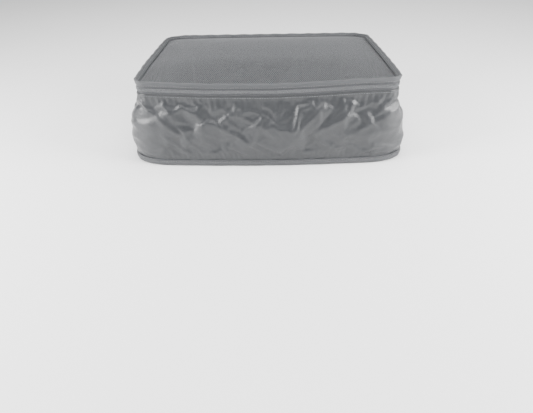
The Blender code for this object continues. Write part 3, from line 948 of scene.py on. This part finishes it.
def stitch_faces(bm, layer, rings, at):
    """The faces of one stitch's tube and its two ends. at holds the rings' places along the row."""
    for i in range(STITCH_STEPS):
        for k in range(STITCH_SIDES):
            j = (k + 1) % STITCH_SIDES
            face = bm.faces.new((rings[i][k], rings[i][j], rings[i + 1][j], rings[i + 1][k]))
            face.smooth = True
            corners = ((i, k), (i, k + 1), (i + 1, k + 1), (i + 1, k))
            for loop, (a, b) in zip(face.loops, corners):
                loop[layer].uv = (at[a], b * THREAD_RADIUS)
    bm.faces.new(rings[0][::-1])
    bm.faces.new(rings[-1])


def stitches(name, line, facing, body):
    """A row of stitches along a line of points. facing holds the direction away from the cloth."""
    s = lengths_along(line)
    pitch = STITCH + STITCH_GAP
    bm = bmesh.new()
    layer = bm.loops.layers.uv.new("cloth")
    for number in range(int(s[-1] / pitch)):
        at = (number + 0.5) * pitch + np.linspace(-0.5, 0.5, STITCH_STEPS + 1) * STITCH
        core = np.stack([np.interp(at, s, line[:, i]) for i in range(3)], axis=1)
        away = np.stack([np.interp(at, s, facing[:, i]) for i in range(3)], axis=1)
        away /= np.linalg.norm(away, axis=1, keepdims=True)
        stitch_faces(bm, layer, stitch_rings(bm, core, away), at)
    mesh = bpy.data.meshes.new(name)
    bm.to_mesh(mesh)
    bm.free()
    obj = new_object(name, mesh)
    outward(obj)
    mesh.materials.append(MATERIALS["thread"])
    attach(obj, body)


def rim_line(out, z, lean=False, closed=True, step=1.5 * MM):
    """A line at one place of the rim's section, and the directions out of it."""
    points, normals, _ = plan(RIM_HALF, RIM_RADIUS, step, closed)
    shaped = np.zeros((1, len(points), 2))
    shaped[..., 0], shaped[..., 1] = out, z
    if lean:
        shaped = leaned(shaped, points)
    flat = points + normals * shaped[0, :, :1]
    line = soften(np.concatenate([flat, shaped[0, :, 1:]], axis=1))
    facing = np.concatenate([normals, np.zeros((len(points), 1))], axis=1)
    if closed:
        line, facing = np.vstack([line, line[:1]]), np.vstack([facing, facing[:1]])
    return line, facing


def make_stitches():
    line, facing = rim_line(0.45 * MM, STITCH_LINE_Z, closed=False)
    stitches("hem_stitches", line, facing, "case")
    line, facing = rim_line(-0.1 * MM, RIM_LOW.z + 1.6 * MM, lean=True)
    stitches("lid_stitches_outside", line, facing, "lid")
    line, facing = rim_line(-BINDING_THICK - 0.3 * MM, RIM_LOW.z + 3.4 * MM, lean=True)
    stitches("lid_stitches_inside", line, -facing, "lid")
    points, normals = base_path(1.5 * MM)
    z = np.full((len(points), 1), BASE_BAND_Z - 2 * MM)
    line = soften(np.concatenate([points + normals * (BASE_LEG + 0.1 * MM), z], axis=1))
    facing = np.concatenate([normals, np.zeros_like(z)], axis=1)
    stitches("base_stitches", np.vstack([line, line[:1]]), np.vstack([facing, facing[:1]]), "case")


# ---------------------------------------------------------------- the lid's net


NET_PITCH = 2.6 * MM
NET_SLANT = 58
NET_WIDTH = 0.62 * MM
NET_STEP = 6 * MM
STRAND_ROUNDNESS = 0.45  # half a strand's height over its width


def lid_height(x, y):
    """The crowned height of the lid's mesh."""
    hx, hy = RIM_HALF[0] - 3 * MM, RIM_HALF[1] - 3 * MM
    across = np.clip(1 - np.abs(x / hx) ** 2.4, 0, 1) * np.clip(1 - np.abs(y / hy) ** 2.4, 0, 1)
    return MESH_EDGE_Z + 0.5 * MM + LID_CROWN * across**0.75


def inside_rim(x, y, inset):
    """Whether points are inside the rim's rounded rectangle, less an inset."""
    hx, hy, r = RIM_HALF[0] - inset, RIM_HALF[1] - inset, RIM_RADIUS - inset / 2
    dx, dy = np.abs(x) - (hx - r), np.abs(y) - (hy - r)
    corner = np.hypot(np.maximum(dx, 0), np.maximum(dy, 0))
    return corner < r


def net_lines(slant):
    """The crossing straight strands of one family, as runs of plan points inside the rim."""
    turn = math.radians(slant)
    run = np.array([math.cos(turn), math.sin(turn)])
    side = np.array([-run[1], run[0]])
    reach = math.hypot(*RIM_HALF)
    spacing = NET_PITCH * math.sin(math.radians(NET_SLANT))
    fine = np.arange(-reach, reach, 0.5 * MM)
    for offset in np.arange(-reach, reach, spacing):
        line = side * offset + fine[:, None] * run
        kept = line[inside_rim(line[:, 0], line[:, 1], 2.6 * MM)]
        if len(kept) < 8:
            continue
        length = np.linalg.norm(kept[-1] - kept[0])
        count = max(2, math.ceil(length / NET_STEP) + 1)
        yield kept[0] + (kept[-1] - kept[0]) * np.linspace(0, 1, count)[:, None], side


def make_net():
    """The lid's mesh: two families of strands that pass over each other."""
    co, faces, uv = [], [], []
    for slant, lift in ((NET_SLANT, 0.07 * MM), (180 - NET_SLANT, -0.07 * MM)):
        for line, side in net_lines(slant):
            z = lid_height(line[:, 0], line[:, 1]) + lift
            core = np.concatenate([line, z[:, None]], axis=1)
            across = np.array([side[0], side[1], 0.0]) * NET_WIDTH / 2
            up = np.array([0.0, 0.0, 1.0]) * NET_WIDTH * STRAND_ROUNDNESS
            rings = np.stack([core - across, core + up, core + across, core - up])
            first = len(co)
            n = len(core)
            co.extend(rings.reshape(-1, 3))
            s = lengths_along(core)
            for r in range(4):
                for c in range(n - 1):
                    q = (r + 1) % 4
                    faces.append([first + r * n + c, first + r * n + c + 1,
                                  first + q * n + c + 1, first + q * n + c])
                    a, b = r * NET_WIDTH, (r + 1) * NET_WIDTH
                    uv += [(s[c], a), (s[c + 1], a), (s[c + 1], b), (s[c], b)]
            for c, order in ((0, (0, 1, 2, 3)), (n - 1, (3, 2, 1, 0))):
                faces.append([first + r * n + c for r in order])
                uv += [(s[c], 0.0)] * 4
    co = soften(np.array(co))
    obj = mesh_object("lid_mesh_net", co, faces, uv)
    outward(obj)
    finish_piece(obj, "mesh", "lid", ["lid_mesh"])


# ---------------------------------------------------------------- the lid's hinge


def make_hinge_strip():
    """The strip of cloth that joins the back wall to the lid's binding."""
    low, high = HINGE.z - 7 * MM, HINGE.z + 4 * MM
    y = RIM_HALF[1] + 0.55 * MM
    heights = np.linspace(low, high, 24)
    xs = np.linspace(-SEAM_X + 1 * MM, SEAM_X - 1 * MM, 120)
    ease = smooth((heights - low) / (2 * MM)) * 0.35 * MM
    points = np.zeros((len(heights), len(xs), 3))
    points[..., 0] = xs[None]
    points[..., 1] = (y + ease)[:, None] + 0.12 * MM * np.sin(xs / (4 * MM))[None]
    points[..., 2] = heights[:, None]
    obj = grid_object("hinge_cloth", points, xs - xs[0], heights - heights[0])
    solid = obj.modifiers.new("thickness", "SOLIDIFY")
    solid.thickness = 0.45 * MM
    solid.offset = 0
    apply_modifiers(obj)
    obj.data.shade_smooth()
    finish_piece(obj, "nylon")
    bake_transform(obj)


# ---------------------------------------------------------------- softened copies, and solids that stay


def make_soft_copies():
    """The zip's end tabs and the tapes over the inner seams, with rounded edges, on the soft walls."""
    for name in ("left_zip_end_tab", "right_zip_end_tab", "left_seam_binding", "right_seam_binding"):
        obj = new_object(name + "_cloth", frame["nodes"][name].data.copy())
        bm = bmesh.new()
        bm.from_mesh(obj.data)
        bmesh.ops.remove_doubles(bm, verts=bm.verts, dist=0.01 * MM)
        bmesh.ops.dissolve_limit(bm, angle_limit=0.02, verts=bm.verts, edges=bm.edges)
        sharp = [e for e in bm.edges if e.is_manifold and e.calc_face_angle() > 0.6]
        bmesh.ops.bevel(bm, geom=sharp, offset=0.3 * MM, segments=3, affect="EDGES", clamp_overlap=True)
        layer = bm.loops.layers.uv.new("cloth")
        for face in bm.faces:
            face.smooth = True
            for loop in face.loops:
                loop[layer].uv = (loop.vert.co.x, loop.vert.co.z)
        for vert, place in zip(bm.verts, soften(np.array([v.co for v in bm.verts]))):
            vert.co = place
        bm.to_mesh(obj.data)
        bm.free()
        finish_piece(obj, "binding", "case", [name])


def dress_solids():
    """Materials, and softened edges, for the solids whose shape is right."""
    slots = {row["node"]: row["material_slot"] for row in frame["record"]["subparts"]}
    widths = {"slider_metal": 0.3 * MM, "pull_rubber": 0.45 * MM}
    for name, obj in frame["nodes"].items():
        obj.data.materials.clear()
        obj.data.materials.append(MATERIALS[slots[name]])
        if obj.hide_render:
            continue
        if slots[name] in widths:
            edge = obj.modifiers.new("edge", "BEVEL")
            edge.width = widths[slots[name]]
            edge.segments = 3
            edge.limit_method = "ANGLE"
            edge.angle_limit = math.radians(35)
            edge.use_clamp_overlap = True
            obj.data.shade_smooth()


# ---------------------------------------------------------------- the stage


def make_stage():
    bpy.ops.mesh.primitive_plane_add(size=12, location=(0, 0, -0.0002))
    floor = bpy.context.object
    floor.name = "floor"
    floor.data.materials.append(plain("pale_floor", (0.92, 0.92, 0.92), 0.6))
    world = bpy.data.worlds.new("studio")
    bpy.context.scene.world = world
    world.use_nodes = True
    background = world.node_tree.nodes["Background"]
    background.inputs[0].default_value = (1, 1, 1, 1)
    background.inputs[1].default_value = 0.4


def area_light(name, place, target, size, power):
    data = bpy.data.lights.new(name, "AREA")
    data.shape = "RECTANGLE"
    data.size, data.size_y = size
    data.energy = power
    obj = new_object(name, data)
    obj.location = place
    obj.rotation_euler = (Vector(target) - Vector(place)).to_track_quat("-Z", "Y").to_euler()


def make_lights():
    aim = (0, 0, 0.05)
    area_light("left_softbox", (-0.8, -0.42, 0.4), aim, (0.4, 0.6), 19)
    area_light("right_softbox", (0.8, -0.38, 0.4), aim, (0.4, 0.6), 19)
    area_light("top_softbox", (0.1, -0.1, 2.0), aim, (2.4, 1.8), 78)


VIEW_DISTANCE = 0.637
VIEW_HEIGHT = 0.2815
VIEW_PITCH = 28.35
VIEW_ROLL = 0.9
LENS = 30.4
SHIFT_X = 0.002
SHIFT_Y = -0.087


def make_camera():
    data = bpy.data.cameras.new("camera")
    obj = new_object("camera", data)
    data.sensor_width = 36
    data.lens = LENS
    data.shift_x = SHIFT_X
    data.shift_y = SHIFT_Y
    obj.location = (0, -VIEW_DISTANCE, VIEW_HEIGHT)
    obj.rotation_euler = (math.radians(90 - VIEW_PITCH), math.radians(VIEW_ROLL), 0)
    bpy.context.scene.camera = obj


def main():
    make_walls()
    make_base_binding()
    make_base_panel()
    make_lid_binding()
    make_tapes()
    make_coils()
    make_stitches()
    make_net()
    make_hinge_strip()
    make_soft_copies()
    dress_solids()
    make_stage()
    make_lights()
    make_camera()


main()
